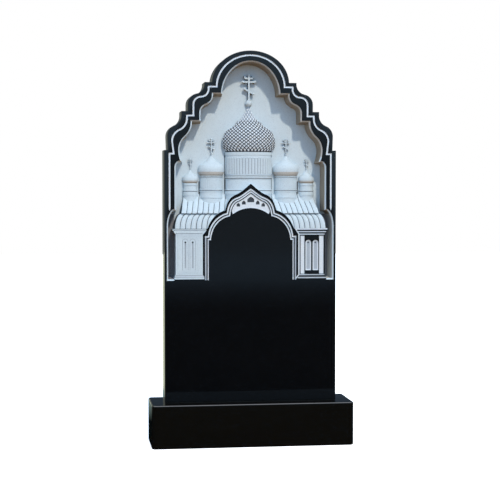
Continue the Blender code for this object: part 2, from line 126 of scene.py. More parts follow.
brokenGranite = dict(
    cloudSize=0.03, crystal=0.0016, grains=(0.80, 0.95), roughness=0.82,
    grit=0.0024, gritDetail=2.0, gritStrength=0.6, relief=0.00015,
)
carvedLooks = {
    # the church and the niche floor: a dry, faintly blue pale grey
    "sandblasted granite": dict(ground="#bfced6", cloud="#c7d4db", dark="#b5c2cb", relief=0.00020),
    # engraved lines and strips: the palest grey
    "engraved granite": dict(ground="#ccd5dd", cloud="#d6dde2", dark="#bfc8d0"),
    # sunk panels and thin mouldings: a middle grey, painted shade
    "sunk panel granite, painted shade": dict(ground="#a2adb8", cloud="#aab4be", dark="#96a1ac"),
    # grooves, gaps and the eyes of windows: charcoal, painted dark shade
    "groove granite, painted dark shade": dict(ground="#3a4148", cloud="#464d54", dark="#2f353b", relief=0.00020),
    # the niche's sides: brown, a painted warm shade
    "niche wall granite, painted warm shade": dict(ground="#8d8170", cloud="#988c7b", dark="#7c7060"),
    # the channels beside the pillars: a flat darker grey, painted shade
    "channel granite, painted shade": dict(ground="#7a7b80", cloud="#85868b", dark="#6a6b70"),
    # shaded edges and the undersides of the small domes: a warm pale grey, painted warm shade
    "soffit granite, painted warm shade": dict(ground="#b3b1ac", cloud="#bbb9b4", dark="#a5a39e"),
}


def makeCarvedGranite(name, look):
    # the same granite, cut or sandblasted: the broken crystals scatter light, so it turns dry and pale
    material, tree, shader = newMaterial(name)
    look = {**brokenGranite, **look}
    place = addNode(tree, "ShaderNodeTexCoord").outputs["Object"]
    ground = mixColours(tree, clouds(tree, place, look["cloudSize"]), look["ground"], look["cloud"])
    colour = mixColours(tree, grains(tree, place, look["crystal"], *look["grains"]), ground, look["dark"])
    tree.links.new(colour, shader.inputs["Base Color"])
    shader.inputs["Roughness"].default_value = look["roughness"]
    shader.inputs["IOR"].default_value = graniteIor
    grit = clouds(tree, place, look["grit"], look["gritDetail"])
    surface = {"Height": grit, "Distance": look["relief"], "Strength": look["gritStrength"]}
    bump = addNode(tree, "ShaderNodeBump", None, surface)
    tree.links.new(bump.outputs[0], shader.inputs["Normal"])
    return material


polished = makePolishedGranite("polished black granite", blackGranite)
plinthLook = dict(blackGranite, ground="#0b0a08", cloud="#0f0e0b")
plinthGranite = makePolishedGranite("polished plinth granite", plinthLook)
steleMaterials = [polished] + [makeCarvedGranite(name, look) for name, look in carvedLooks.items()]
isPolished, isCarved, isEngraved, isRecessPaintedShade, isGroovePaintedShade, isWallPaintedShade, isChannelPaintedShade, isSoffitPaintedShade = range(8)
print("materials made")


# Outlines

def arcPoints(centre, radii, start, end, steps=20):
    points = []
    for i in range(steps + 1):
        angle = math.radians(start + (end - start) * i / steps)
        points.append((centre[0] + radii[0] * math.cos(angle), centre[1] + radii[1] * math.sin(angle)))
    return points


def bezierPoints(p0, p1, p2, p3, steps=16):
    points = []
    for i in range(steps + 1):
        t = i / steps
        weights = ((1 - t) ** 3, 3 * t * (1 - t) ** 2, 3 * t * t * (1 - t), t**3)
        pairs = list(zip(weights, (p0, p1, p2, p3)))
        points.append(tuple(sum(weight * point[k] for weight, point in pairs) for k in (0, 1)))
    return points


def swanNeck(start, end, steps=16):
    # an S without its start: a hollow arc, then a round one of the same radius
    turn = 2 * math.atan2(end[0] - start[0], start[1] - end[1])
    radius = (start[1] - end[1]) / math.sin(turn) / 2
    hollow = []
    full = []
    for i in range(steps + 1):
        angle = turn * i / steps
        across = radius * (1 - math.cos(angle))
        down = radius * math.sin(angle)
        hollow.append((start[0] + across, start[1] - down))
        full.append((end[0] - across, end[1] + down))
    return hollow[1:-1] + full[::-1]


def headHalf(shape):
    # the arch and its two steps; neck points closer under a ledge than room would cross over in an inset
    rise = shape["archTop"] - shape["archSpring"]
    springAngle = math.degrees(math.asin((shape["upperLedge"] - shape["archSpring"]) / rise))
    half = arcPoints((0, shape["archSpring"]), (shape["archHalf"], rise), 90, springAngle, 40)
    for ledge, neck in (("upperLedge", "upperNeck"), ("lowerLedge", "lowerNeck")):
        start, end = shape[neck]
        level = shape[ledge]
        half.append((start[0], level))
        half += [point for point in swanNeck(start, end) if point[1] < level - shape["room"]]
        if neck == "upperNeck":
            half.append((end[0], shape["lowerLedge"]))
    return half


def wholeOutline(half):
    return half + [(-x, z) for x, z in reversed(half[1:])]


def wholePath(half):
    return [(-x, z) for x, z in reversed(half[1:])] + half


def movedRight(before, point, after, distance):
    # the mitred corner of a path moved to the right of its way
    normals = []
    for start, end in ((before, point), (point, after)):
        length = math.dist(start, end)
        if length:
            normals.append(((end[1] - start[1]) / length, -(end[0] - start[0]) / length))
    (ax, az), (bx, bz) = normals[0], normals[-1]
    scale = distance / (1 + ax * bx + az * bz)
    return (point[0] + (ax + bx) * scale, point[1] + (az + bz) * scale)


def insetOutline(outline, distance):
    corners = zip(outline[-1:] + outline[:-1], outline, outline[1:] + outline[:1])
    return [movedRight(*corner, distance) for corner in corners]


def shiftedPath(path, distance):
    corners = zip(path[:1] + path[:-1], path, path[1:] + path[-1:])
    return [movedRight(*corner, distance) for corner in corners]


def strokeOutline(path, width):
    return shiftedPath(path, width / 2) + shiftedPath(path, -width / 2)[::-1]


def archOutline(centre, halfWidth, bottom, top, steps=10):
    # a round-headed window
    head = arcPoints((centre, top - halfWidth), (halfWidth, halfWidth), 180, 0, steps)
    return head + [(centre + halfWidth, bottom), (centre - halfWidth, bottom)]


def boxOutline(left, right, low, high):
    return [(left, high), (right, high), (right, low), (left, low)]


# Solids

levelWithin = 0.001


def edgeSpan(edge, axis):
    return abs(edge.verts[0].co[axis] - edge.verts[1].co[axis])


def isSideFace(face):
    # it looks more sideways than to the front or back
    return abs(face.normal.y) < 0.5


def setLook(bm, index):
    for face in bm.faces:
        face.material_index = index


def extrudedOutline(outline, front, back):
    bm = bmesh.new()
    face = bm.faces.new([bm.verts.new((x, front, z)) for x, z in outline])
    grown = bmesh.ops.extrude_face_region(bm, geom=[face])["geom"]
    moved = [item for item in grown if isinstance(item, bmesh.types.BMVert)]
    bmesh.ops.translate(bm, verts=moved, vec=(0, back - front, 0))
    return bm


def closedRings(rings):
    # rings of equal length, each an outline and its depth, bridged one to the next and capped
    bm = bmesh.new()
    loops = []
    for outline, y in rings:
        verts = [bm.verts.new((x, y, z)) for x, z in outline]
        loops.append([bm.edges.new((verts[i - 1], verts[i])) for i in range(len(verts))])
    for near, far in zip(loops, loops[1:]):
        bmesh.ops.bridge_loops(bm, edges=near + far)
    bmesh.ops.holes_fill(bm, edges=loops[0] + loops[-1], sides=0)
    return bm


def bevelEdges(bm, edges, offset, segments):
    bmesh.ops.bevel(
        bm, geom=edges, offset=offset, offset_type="OFFSET", segments=segments, profile=0.5,
        affect="EDGES", material=-1,
    )


def splitFaces(bm, axis, place):
    # adds edges where a plane square to the axis crosses the faces, so that each side can have its look
    point = Vector((0, 0, 0))
    normal = Vector((0, 0, 0))
    point[axis] = place
    normal[axis] = 1
    everything = bm.verts[:] + bm.edges[:] + bm.faces[:]
    bmesh.ops.bisect_plane(bm, geom=everything, plane_co=point, plane_no=normal)


def meshObject(bm, name, materialIndex=None, materials=steleMaterials):
    if materialIndex is not None:
        setLook(bm, materialIndex)
    bmesh.ops.recalc_face_normals(bm, faces=bm.faces[:])
    mesh = bpy.data.meshes.new(name)
    bm.to_mesh(mesh)
    bm.free()
    for material in materials:
        mesh.materials.append(material)
    obj = bpy.data.objects.new(name, mesh)
    bpy.context.scene.collection.objects.link(obj)
    return obj


def carveWith(blank, tools):
    toolBox = bpy.data.collections.new("tools")
    bpy.context.scene.collection.children.link(toolBox)
    for tool in tools:
        toolBox.objects.link(tool)
    cut = blank.modifiers.new("cut", "BOOLEAN")
    cut.operation = "DIFFERENCE"
    cut.solver = "EXACT"
    cut.operand_type = "COLLECTION"
    cut.collection = toolBox
    bpy.context.view_layer.update()
    result = bpy.data.meshes.new_from_object(blank.evaluated_get(bpy.context.evaluated_depsgraph_get()))
    blank.modifiers.clear()
    blank.data = result
    for tool in tools:
        bpy.data.objects.remove(tool)
    bpy.data.collections.remove(toolBox)
    return blank


def smoothFaces(obj, sharpFrom):
    obj.data.shade_smooth()
    obj.data.set_sharp_from_angle(angle=math.radians(sharpFrom))


# The block, its niche and what stays at the face

block = dict(
    halfWidth=0.300, front=-0.025, back=0.075, bottom=0.1503, shoulder=1.021, shoulderRoot=0.2875,
    arris=0.0012, arrisSegments=2, sharpFrom=32,
)
edgeHead = dict(
    archHalf=0.134, archSpring=1.252, archTop=1.365, room=0.0,
    upperLedge=1.255, upperNeck=((0.160, 1.250), (0.218, 1.180)),
    lowerLedge=1.155, lowerNeck=((0.240, 1.142), (0.289, 1.070)),
)
niche = dict(
    archHalf=0.104, archSpring=1.210, archTop=1.3305, room=0.0135,
    upperLedge=1.219, upperNeck=((0.135, 1.212), (0.179, 1.150)),
    lowerLedge=1.124, lowerNeck=((0.2085, 1.118), (0.252, 1.022)),
    cusp=(0.2455, 0.985), waist=(0.265, 0.963), footTop=0.818, foot=(0.292, 0.757), bottom=0.571,
    floor=0.040, chamfer=0.0045, draft=5.0, overcut=0.004, lip=0.001, channel=(0.2612, 0.800),
    leftWallFrom=1.02, paintedShadeFrom=1.0, ledgeSlope=0.6,
)
portalEdge = dict(
    hollow=((0.0, 0.9055), (0.018, 0.8910), (0.034, 0.8745), (0.052, 0.8680)),
    full=((0.052, 0.8680), (0.068, 0.8620), (0.0785, 0.8500), (0.085, 0.8290)),
    arcCentre=(0.070, 0.716), arcRadii=(0.0865, 0.100), shoulder=0.0895, arcEnd=0.750,
)
pillarSide = dict(
    cornice=((0.2715, 0.750), (0.2715, 0.7435), (0.2665, 0.7405), (0.2665, 0.736), (0.261, 0.731)),
    footing=((0.261, 0.592), (0.2665, 0.578)),
)


def ogeeHalf(shape, steps=16):
    return bezierPoints(*shape["hollow"], steps) + bezierPoints(*shape["full"], steps)[1:]


def portalHalf(shape):
    centre, radii = shape["arcCentre"], shape["arcRadii"]
    start = math.degrees(math.acos((shape["shoulder"] - centre[0]) / radii[0]))
    end = math.degrees(math.asin((shape["arcEnd"] - centre[1]) / radii[1]))
    return ogeeHalf(shape) + arcPoints(centre, radii, start, end)


def nicheOutline():
    half = headHalf(niche)
    lobeEnd = niche["lowerNeck"][1]
    cusp, waist, foot = niche["cusp"], niche["waist"], niche["foot"]
    across = lobeEnd[0] - cusp[0]
    down = lobeEnd[1] - cusp[1]
    radius = (across**2 + down**2) / (2 * across)
    tuck = math.degrees(math.asin(down / radius))
    half += arcPoints((lobeEnd[0] - radius, lobeEnd[1]), (radius, radius), 0, -tuck, 8)[1:]
    half += arcPoints((cusp[0], waist[1]), (waist[0] - cusp[0], cusp[1] - waist[1]), 90, 0, 12)[1:]
    half += arcPoints((waist[0], foot[1]), (foot[0] - waist[0], niche["footTop"] - foot[1]), 90, 0)
    half.append((foot[0], niche["bottom"]))
    return wholeOutline(half)


def makeBlock():
    half = headHalf(edgeHead) + [
        (block["shoulderRoot"], block["shoulder"]), (block["halfWidth"], block["shoulder"]),
        (block["halfWidth"], block["bottom"]),
    ]
    bm = extrudedOutline(wholeOutline(half), block["front"], block["back"])
    rims = [edge for edge in bm.edges if edgeSpan(edge, 1) < levelWithin]
    bevelEdges(bm, rims, block["arris"], block["arrisSegments"])
    return meshObject(bm, "carved_stele", isPolished)


def nicheLook(face):
    # painted warm shade browns the sides and the shaded parts of the rim, except at the niche's left foot;
    # the channels beside the pillars get painted shade too
    centre = face.calc_center_median()
    isSide = isSideFace(face)
    isDeep = centre.y > block["front"] + 2 * niche["chamfer"]
    channelSide, channelTop = niche["channel"]
    if isDeep and abs(centre.x) > channelSide and centre.z < channelTop:
        return isSoffitPaintedShade if centre.x > 0 and isSide else isChannelPaintedShade
    if isSide and (centre.x >= 0 or centre.z >= niche["leftWallFrom"]):
        return isWallPaintedShade
    if isDeep:
        return isCarved
    shaded = centre.x > 0 and centre.z > niche["paintedShadeFrom"] or face.normal.z > niche["ledgeSlope"]
    return isSoffitPaintedShade if shaded else isCarved


def makeNicheTool():
    outline = nicheOutline()
    over, chamfer, lip = niche["overcut"], niche["chamfer"], niche["lip"]
    front, floor = block["front"], niche["floor"]
    draft = (floor - front - chamfer) * math.tan(math.radians(niche["draft"]))
    rings = closedRings((
        (insetOutline(outline, -lip), front - lip),
        (insetOutline(outline, chamfer), front + chamfer),
        (insetOutline(outline, chamfer + draft), floor),
    ))
    channelSide, channelTop = niche["channel"]
    splitFaces(rings, 0, -channelSide)
    splitFaces(rings, 0, channelSide)
    splitFaces(rings, 2, channelTop)
    rings.normal_update()
    for face in rings.faces:
        face.material_index = nicheLook(face)
    tool = meshObject(rings, "niche_tool")
    side = [*pillarSide["cornice"], *pillarSide["footing"]]
    side.append((side[-1][0], niche["bottom"] - 2 * over))
    kept = wholeOutline(portalHalf(portalEdge) + side)
    keptFace = meshObject(extrudedOutline(kept, front - 2 * over, floor + over), "kept_face", isCarved)
    return carveWith(tool, [keptFace])


stele = carveWith(makeBlock(), [makeNicheTool()])
print("block and niche cut:", len(stele.data.polygons), "faces")


# Engraving in the face

headLine = dict(
    archHalf=0.1185, archSpring=1.240, archTop=1.3492, room=0.0,
    upperLedge=1.240, upperNeck=((0.1465, 1.232), (0.1993, 1.178)),
    lowerLedge=1.140, lowerNeck=((0.2215, 1.130), (0.273, 1.052)),
    shoulder=((0.2675, 1.009), (0.282, 1.009)), tip=0.812, taper=0.010, width=0.0060,
)
portalLines = (
    dict(
        hollow=((0.0, 0.8855), (0.012, 0.8795), (0.030, 0.8615), (0.050, 0.8547)),
        full=((0.050, 0.8547), (0.064, 0.8500), (0.0735, 0.8380), (0.0785, 0.8190)),
        arcCentre=(0.066, 0.716), arcRadii=(0.081, 0.088), shoulder=0.082, arcEnd=0.722, width=0.0052,
        # the legs of this outer line get painted shade
        leg=0.1572, legWidth=0.0054, legLook=isRecessPaintedShade,
    ),
    dict(
        hollow=((0.0, 0.8775), (0.012, 0.8710), (0.028, 0.8545), (0.048, 0.8470)),
        full=((0.048, 0.8470), (0.060, 0.8415), (0.0675, 0.8290), (0.0715, 0.8120)),
        arcCentre=(0.062, 0.706), arcRadii=(0.0795, 0.0905), shoulder=0.0745, arcEnd=0.713, width=0.0048,
        leg=0.1489, legWidth=0.0036, legLook=isEngraved,
    ),
)
tympanum = dict(
    arcTop=0.8215, foot=(0.063, 0.800), border=0.0052,
    lights=(
        (0.0, 0.012, 0.8415, 0.8605), (0.0245, 0.0065, 0.8335, 0.8475), (0.0435, 0.0060, 0.8265, 0.8395),
    ),
    lightSpring=0.45, lightShoulder=0.6, lightFall=0.003, lightRise=0.002,
)
depths = dict(
    line=0.0020, light=0.0055, panel=0.0036, grey=0.0010, eye=0.006, drumGap=0.0025,
    field=0.0010, moulding=0.0020, faint=0.0012, frame=0.0014, ring=0.0018, slot=0.0026,
)
legGap = 0.001


def engravingTool(outline, depth, look=isEngraved):
    front = block["front"]
    return meshObject(extrudedOutline(outline, front - niche["overcut"], front + depth), "line_tool", look)


def headLineTool():
    # one line round the head, its ends tapered to a point
    side = headLine["shoulder"][1][0]
    half = headHalf(headLine) + list(headLine["shoulder"]) + [(side, headLine["tip"] + headLine["taper"])]
    path = wholePath(half)
    right = shiftedPath(path, headLine["width"] / 2)
    left = shiftedPath(path, -headLine["width"] / 2)
    outline = right + [(side, headLine["tip"])] + left[::-1] + [(-side, headLine["tip"])]
    return engravingTool(outline, depths["line"])


def portalLineTools():
    tools = []
    for shape in portalLines:
        outer = shape["leg"] + shape["legWidth"] / 2
        path = wholePath(portalHalf(shape) + [(outer, shape["arcEnd"])])
        tools.append(engravingTool(strokeOutline(path, shape["width"]), depths["line"]))
        low, high = niche["bottom"] + legGap, shape["arcEnd"] - shape["width"] / 2
        for left in (-outer, outer - shape["legWidth"]):
            leg = boxOutline(left, left + shape["legWidth"], low, high)
            tools.append(engravingTool(leg, depths["line"], shape["legLook"]))
    return tools


def pointedLight(centre, halfWidth, bottom, top):
    spring = bottom + tympanum["lightSpring"] * (top - bottom)
    edge = centre + halfWidth
    shoulder = (centre + tympanum["lightShoulder"] * halfWidth, top - tympanum["lightFall"])
    right = bezierPoints((centre, top), shoulder, (edge, spring + tympanum["lightRise"]), (edge, spring), 5)
    left = [(2 * centre - x, z) for x, z in reversed(right[1:])]
    return right + [(edge, bottom), (centre - halfWidth, bottom)] + left


def tympanumTools():
    top = shiftedPath(wholePath(ogeeHalf(portalLines[1], 6)), tympanum["border"])
    chord, rise = tympanum["foot"][0], tympanum["arcTop"] - tympanum["foot"][1]
    radius = (chord**2 + rise**2) / (2 * rise)
    spread = math.degrees(math.asin(chord / radius))
    arch = arcPoints((0, tympanum["arcTop"] - radius), (radius, radius), 90 - spread, 90 + spread)
    tools = [engravingTool(top + arch, depths["line"])]
    # the lights are cut deep and get painted dark shade
    for centre, halfWidth, bottom, high in tympanum["lights"]:
        for side in (1, -1) if centre else (1,):
            light = pointedLight(side * centre, halfWidth, bottom, high)
            tools.append(engravingTool(light, depths["light"], isGroovePaintedShade))
    return tools


# strips, greys, lines and frames of the pillars: inner x, outer x, low z, high z
rightPillar = dict(
    strips=(
        (0.1670, 0.1720, 0.590, 0.730), (0.1750, 0.1890, 0.592, 0.725), (0.2410, 0.2565, 0.592, 0.725),
        (0.1650, 0.2660, 0.5765, 0.5802), (0.1680, 0.2600, 0.5872, 0.5904),
        (0.1600, 0.2712, 0.7460, 0.7510), (0.1640, 0.2690, 0.7374, 0.7410), (0.1680, 0.2605, 0.7284, 0.7320),
    ),
    greys=((0.1660, 0.2640, 0.5810, 0.5864), (0.1660, 0.2640, 0.7327, 0.7372)),
    mitres=(((0.1560, 0.7510), (0.1690, 0.7310)), ((0.1570, 0.5740), (0.1700, 0.5900))),
    mitreWidth=0.0040, windows=(0.2025, 0.2280), windowHalf=0.0102, bottom=0.604, top=0.710,
    panelHalf=0.0058, panelBottom=0.608, panelTop=0.7055, eye=0.7005, eyeRadius=0.0026,
)
leftPillar = dict(
    field=(
        (-0.2800, 0.7490), (-0.1555, 0.7490), (-0.1555, 0.7430), (-0.1675, 0.7290),
        (-0.1675, 0.5900), (-0.1622, 0.5830), (-0.1622, 0.5755), (-0.2800, 0.5755),
    ),
    lines=(
        (0.1580, 0.2690, 0.7432, 0.7448), (0.1690, 0.2610, 0.7322, 0.7346),
        (0.1690, 0.2610, 0.5872, 0.5894), (0.1650, 0.2650, 0.5808, 0.5822),
    ),
    faintLine=(0.1690, 0.2610, 0.7258, 0.7268),
    frames=((0.1760, 0.2550, 0.596, 0.723), (0.1860, 0.2390, 0.600, 0.716)), frameWidth=0.0014,
    windows=(0.2025, 0.2280), ringHalf=0.0095, ringBottom=0.606, ringTop=0.7150, ringWidth=0.0013,
    slotHalf=0.0026, bottom=0.614, top=0.7050, eye=0.7030, eyeRadius=0.0032,
)


def eyeTool(centre, pillar):
    # the round eye at the head of a window, in painted dark shade
    radius = pillar["eyeRadius"]
    outline = arcPoints((centre, pillar["eye"]), (radius, radius), 0, 330, 11)
    return engravingTool(outline, depths["eye"], isGroovePaintedShade)


def rightPillarTools():
    # light strips and windows engraved in a polished field; the windows' panels and the grey gaps get painted
    # shade
    shape = rightPillar
    tools = [engravingTool(boxOutline(*strip), depths["line"]) for strip in shape["strips"]]
    for centre in shape["windows"]:
        window = archOutline(centre, shape["windowHalf"], shape["bottom"], shape["top"])
        panel = archOutline(centre, shape["panelHalf"], shape["panelBottom"], shape["panelTop"])
        tools.append(engravingTool(window, depths["line"]))
        tools.append(engravingTool(panel, depths["panel"], isRecessPaintedShade))
        tools.append(eyeTool(centre, shape))
    for grey in shape["greys"]:
        tools.append(engravingTool(boxOutline(*grey), depths["grey"], isGroovePaintedShade))
    for ends in shape["mitres"]:
        tools.append(engravingTool(strokeOutline(list(ends), shape["mitreWidth"]), depths["line"]))
    return tools


def leftPillarTools():
    # a matte field with fine mouldings, two frames and two slender windows; the mouldings, rings and slots
    # get painted shade
    shape, sink = leftPillar, depths["field"]
    tools = [engravingTool(list(shape["field"]), sink, isCarved)]
    for left, right, low, high in shape["lines"]:
        line = boxOutline(-right, -left, low, high)
        tools.append(engravingTool(line, sink + depths["moulding"], isRecessPaintedShade))
    left, right, low, high = shape["faintLine"]
    tools.append(engravingTool(boxOutline(-right, -left, low, high), sink + depths["faint"], isCarved))
    width = shape["frameWidth"]
    for left, right, low, high in shape["frames"]:
        bars = (
            (-right, -left, low, low + width), (-right, -left, high - width, high),
            (-right, -right + width, low, high), (-left - width, -left, low, high),
        )
        for bar in bars:
            tools.append(engravingTool(boxOutline(*bar), sink + depths["frame"], isCarved))
    for centre in shape["windows"]:
        half, foot = shape["ringHalf"], shape["ringBottom"]
        head = arcPoints((-centre, shape["ringTop"] - half), (half, half), 180, 0, 12)
        ring = [(-centre - half, foot), *head, (-centre + half, foot)]
        slot = archOutline(-centre, shape["slotHalf"], shape["bottom"], shape["top"])
        tools.append(engravingTool(strokeOutline(ring, shape["ringWidth"]), sink + depths["ring"], isRecessPaintedShade))
        tools.append(engravingTool(slot, sink + depths["slot"], isRecessPaintedShade))
        tools.append(eyeTool(-centre, shape))
    return tools


# cuts in the niche floor beside the drums, in painted dark shade: left, right, low, high
drumGaps = (
    (-0.0856, -0.0800, 0.800, 1.014), (0.0800, 0.0832, 0.800, 1.014), (0.1700, 0.1762, 0.820, 0.914),
    (-0.1762, -0.1700, 0.820, 0.914),
)


def drumGapTools():
    floor, lip = niche["floor"], niche["lip"]
    tools = []
    for gap in drumGaps:
        bm = extrudedOutline(boxOutline(*gap), floor - lip, floor + depths["drumGap"])
        tools.append(meshObject(bm, "drum_gap", isGroovePaintedShade))
    return tools


engravingTools = [headLineTool(), *portalLineTools(), *tympanumTools()]
engravingTools += [*rightPillarTools(), *leftPillarTools(), *drumGapTools()]
stele = carveWith(stele, engravingTools)
print("engraving cut:", len(stele.data.polygons), "faces")


# The church in the niche

bedDepth = niche["floor"] + niche["overcut"]
weldWithin = 0.00002


def addForm(target, form):
    # moves a finished closed form into the target
    bmesh.ops.recalc_face_normals(form, faces=form.faces[:])
    carrier = bpy.data.meshes.new("carrier")
    form.to_mesh(carrier)
    form.free()
    target.from_mesh(carrier)
    bpy.data.meshes.remove(carrier)


def backInStone(bm):
    # carries the open rim back into the stone and caps it
    rim = [edge for edge in bm.edges if edge.is_boundary]
    grown = bmesh.ops.extrude_edge_only(bm, edges=rim)["geom"]
    for item in grown:
        if isinstance(item, bmesh.types.BMVert):
            item.co.y = bedDepth
    bmesh.ops.holes_fill(bm, edges=[edge for edge in bm.edges if edge.is_boundary], sides=0)


def turnedForm(profile, centre, ratio, steps, rings=()):
    # a profile from axis to axis, spun half round and flattened towards the niche floor; rings get painted
    # dark shade
    bm = bmesh.new()
    verts = [bm.verts.new((radius, 0, z)) for radius, z in profile]
    edges = [bm.edges.new(pair) for pair in zip(verts, verts[1:])]
    bmesh.ops.spin(bm, geom=verts + edges, cent=(0, 0, 0), axis=(0, 0, 1), angle=-math.pi, steps=steps)
    bmesh.ops.remove_doubles(bm, verts=bm.verts[:], dist=weldWithin)
    for vert in bm.verts:
        vert.co = (vert.co.x + centre, niche["floor"] + vert.co.y * ratio, vert.co.z)
    backInStone(bm)
    for face in bm.faces:
        height = face.calc_center_median().z
        face.material_index = isGroovePaintedShade if any(low < height < high for low, high in rings) else isCarved
    return bm


def onionProfile(shape, steps):
    # control points are shares of the radius outwards and of the height upwards
    def at(out, up):
        return (out * shape["radius"], shape["bottom"] + up * shape["height"])

    belly, turn = shape["belly"], shape["turn"]
    foot = (shape["foot"], shape["bottom"])
    low = bezierPoints(foot, at(0.94, 0.05), at(1, belly - 0.09), at(1, belly), steps)
    middle = bezierPoints(at(1, belly), at(1, belly + 0.12), at(0.93, turn - 0.08), at(0.80, turn), steps)
    upper = bezierPoints(at(0.80, turn), at(0.46, 0.62), at(0.17, 0.79), at(0.05, 1), 2 * steps)
    return low[:-1] + middle[:-1] + upper


domes = dict(
    main=dict(
        x=0.0, radius=0.0940, bottom=1.016, height=0.158, relief=0.052, foot=0.0815, belly=0.21, turn=0.49,
    ),
    middle=dict(
        x=0.132, radius=0.0470, bottom=0.934, height=0.072, relief=0.033, foot=0.0390, belly=0.27, turn=0.54,
    ),
    outer=dict(
        x=0.2055, radius=0.0290, bottom=0.908, height=0.048, relief=0.022, foot=0.0240, belly=0.26, turn=0.53,
    ),
)
# the net's pitch round the dome and its rows' heights, as (climb above the dome's foot, length) pairs
lattice = dict(
    pitches=((0.0, 0.0058), (0.025, 0.0073), (0.075, 0.0073), (0.110, 0.0054), (0.160, 0.0046)),
    steps=((0.0, 0.0080), (0.016, 0.0062), (0.030, 0.0056), (0.085, 0.0056), (0.150, 0.0095)),
    leastStep=0.004, reach=1.20, spare=1.05, squeeze=0.12, groove=0.15, rise=0.0020, steepest=0.25,
    crown=0.20, swell=0.06, footing=0.0006, tip=0.001, slotRows=2, paleAbove=1.125,
)
domeUndersideShade = dict(top=0.17, brownShadeTop=0.05)


def valueAt(table, place):
    # straight lines between the pairs of a table
    for (p0, v0), (p1, v1) in zip(table, table[1:]):
        if place <= p1:
            return v0 + (v1 - v0) * max(place - p0, 0) / (p1 - p0)
    return table[-1][1]


def latticeLevels(shape):
    # heights of the net's rows: long slots at the foot, then even rows that lengthen at the neck
    climbs = [0.0]
    while climbs[-1] < shape["height"] - lattice["leastStep"]:
        climbs.append(climbs[-1] + valueAt(lattice["steps"], climbs[-1]))
    return [shape["bottom"] + climb for climb in climbs[:-1]] + [shape["bottom"] + shape["height"]]


def latticeNet(shape, levels):
    # a sheet of diamonds round the dome: a grid whose odd points are dissolved
    profile = [(z - shape["bottom"], radius) for radius, z in onionProfile(shape, 16)]
    rows = len(levels) - 1
    reach = lattice["reach"]
    narrowest = min(pitch for climb, pitch in lattice["pitches"][1:])
    half = math.ceil(reach * shape["radius"] / narrowest)
    columns = 2 * half
    ratio = shape["relief"] / shape["radius"]
    bm = bmesh.new()
    bmesh.ops.create_grid(bm, x_segments=columns, y_segments=rows, size=1)
    corners = []
    centres = []
    beyond = []
    for vert in bm.verts:
        column = round((vert.co.x + 1) / 2 * columns)
        row = round((vert.co.y + 1) / 2 * rows)
        climb = levels[row] - shape["bottom"]
        radius = valueAt(profile, climb)
        pitch = valueAt(lattice["pitches"], climb)
        along = (column - half) * pitch / radius
        if abs(along) > reach + lattice["spare"] * pitch / radius:
            beyond.append(vert)
        along = max(-reach, min(reach, along))
        across = along - lattice["squeeze"] * along**3
        depth = niche["floor"] - ratio * radius * math.sqrt(1 - across**2)
        vert.co = (shape["x"] + radius * across, depth, levels[row])
        if (row + column) % 2 == 0:
            corners.append(vert)
        elif row not in (0, rows) and column not in (0, columns):
            centres.append(vert)
    bmesh.ops.connect_verts(bm, verts=corners)
    bmesh.ops.dissolve_verts(bm, verts=centres)
    bmesh.ops.delete(bm, geom=[vert for vert in beyond if vert.is_valid], context="VERTS")
    bmesh.ops.recalc_face_normals(bm, faces=bm.faces[:])
    return bm


def latticeDome(shape):
    # each diamond of the net is raised from its grooves and swells to a crown; the grooves and the slots at
    # the foot get painted dark shade, a lighter one high up
    levels = latticeLevels(shape)
    bm = latticeNet(shape, levels)
    setLook(bm, isEngraved)
    for face in bm.faces[:]:
        height = face.calc_center_median().z
        if len(face.verts) == 3 and height < levels[lattice["slotRows"]]:
            face.material_index = isGroovePaintedShade
        elif len(face.verts) == 4:
            size = math.sqrt(face.calc_area())
            rise = min(lattice["rise"], lattice["steepest"] * size)
            sides = bmesh.ops.inset_individual(
                bm, faces=[face], thickness=lattice["groove"] * size, depth=rise, use_even_offset=True,
            )["faces"]
            for side in sides:
                side.material_index = isRecessPaintedShade if height > lattice["paleAbove"] else isGroovePaintedShade
            bmesh.ops.inset_individual(
                bm, faces=[face], thickness=lattice["crown"] * size, depth=lattice["swell"] * size,
                use_even_offset=True,
            )
    backInStone(bm)
    return bm


def latticeCore(shape):
    # the plain dome just under the net
    core = [(max(radius - lattice["footing"], lattice["tip"]), z) for radius, z in onionProfile(shape, 12)]
    core = [(0, core[0][1])] + core + [(0, core[-1][1] + lattice["tip"])]
    return turnedForm(core, shape["x"], shape["relief"] / shape["radius"], 48)


def sideDomeForm(side, dome):
    # painted warm shade browns the underside of a small dome, most of all at its foot
    profile = [(0, dome["bottom"])] + onionProfile(dome, 10) + [(0, dome["bottom"] + dome["height"])]
    form = turnedForm(profile, side * dome["x"], dome["relief"] / dome["radius"], 40)
    for face in form.faces:
        height = (face.calc_center_median().z - dome["bottom"]) / dome["height"]
        if height < domeUndersideShade["top"]:
            face.material_index = isSoffitPaintedShade if height > domeUndersideShade["brownShadeTop"] else isWallPaintedShade
    return form


drums = dict(
    main=dict(
        x=0.0, radius=0.0815, bottom=0.800, top=1.016, relief=0.045,
        bands=(
            (0.8680, 0.8808), (0.8820, 0.8860), (0.9215, 0.9240), (0.9256, 0.9322), (0.9334, 0.9360),
            (1.0050, 1.0160),
        ),
        arcade=dict(count=24, low=0.9390, high=0.9960, depth=0.0022, bay=isRecessPaintedShade),
    ),
    middle=dict(
        x=0.132, radius=0.0390, bottom=0.820, top=0.934, relief=0.027,
        bands=((0.8560, 0.8595), (0.8775, 0.8820), (0.8832, 0.8892), (0.9266, 0.9288), (0.9300, 0.9340)),
        arcade=dict(count=18, low=0.8900, high=0.9240, depth=0.0014, bay=isCarved),
    ),
    outer=dict(
        x=0.2055, radius=0.0245, bottom=0.830, top=0.909, relief=0.018,
        bands=((0.8640, 0.8785), (0.8797, 0.8850), (0.9000, 0.9022)),
        arcade=None,
    ),
)
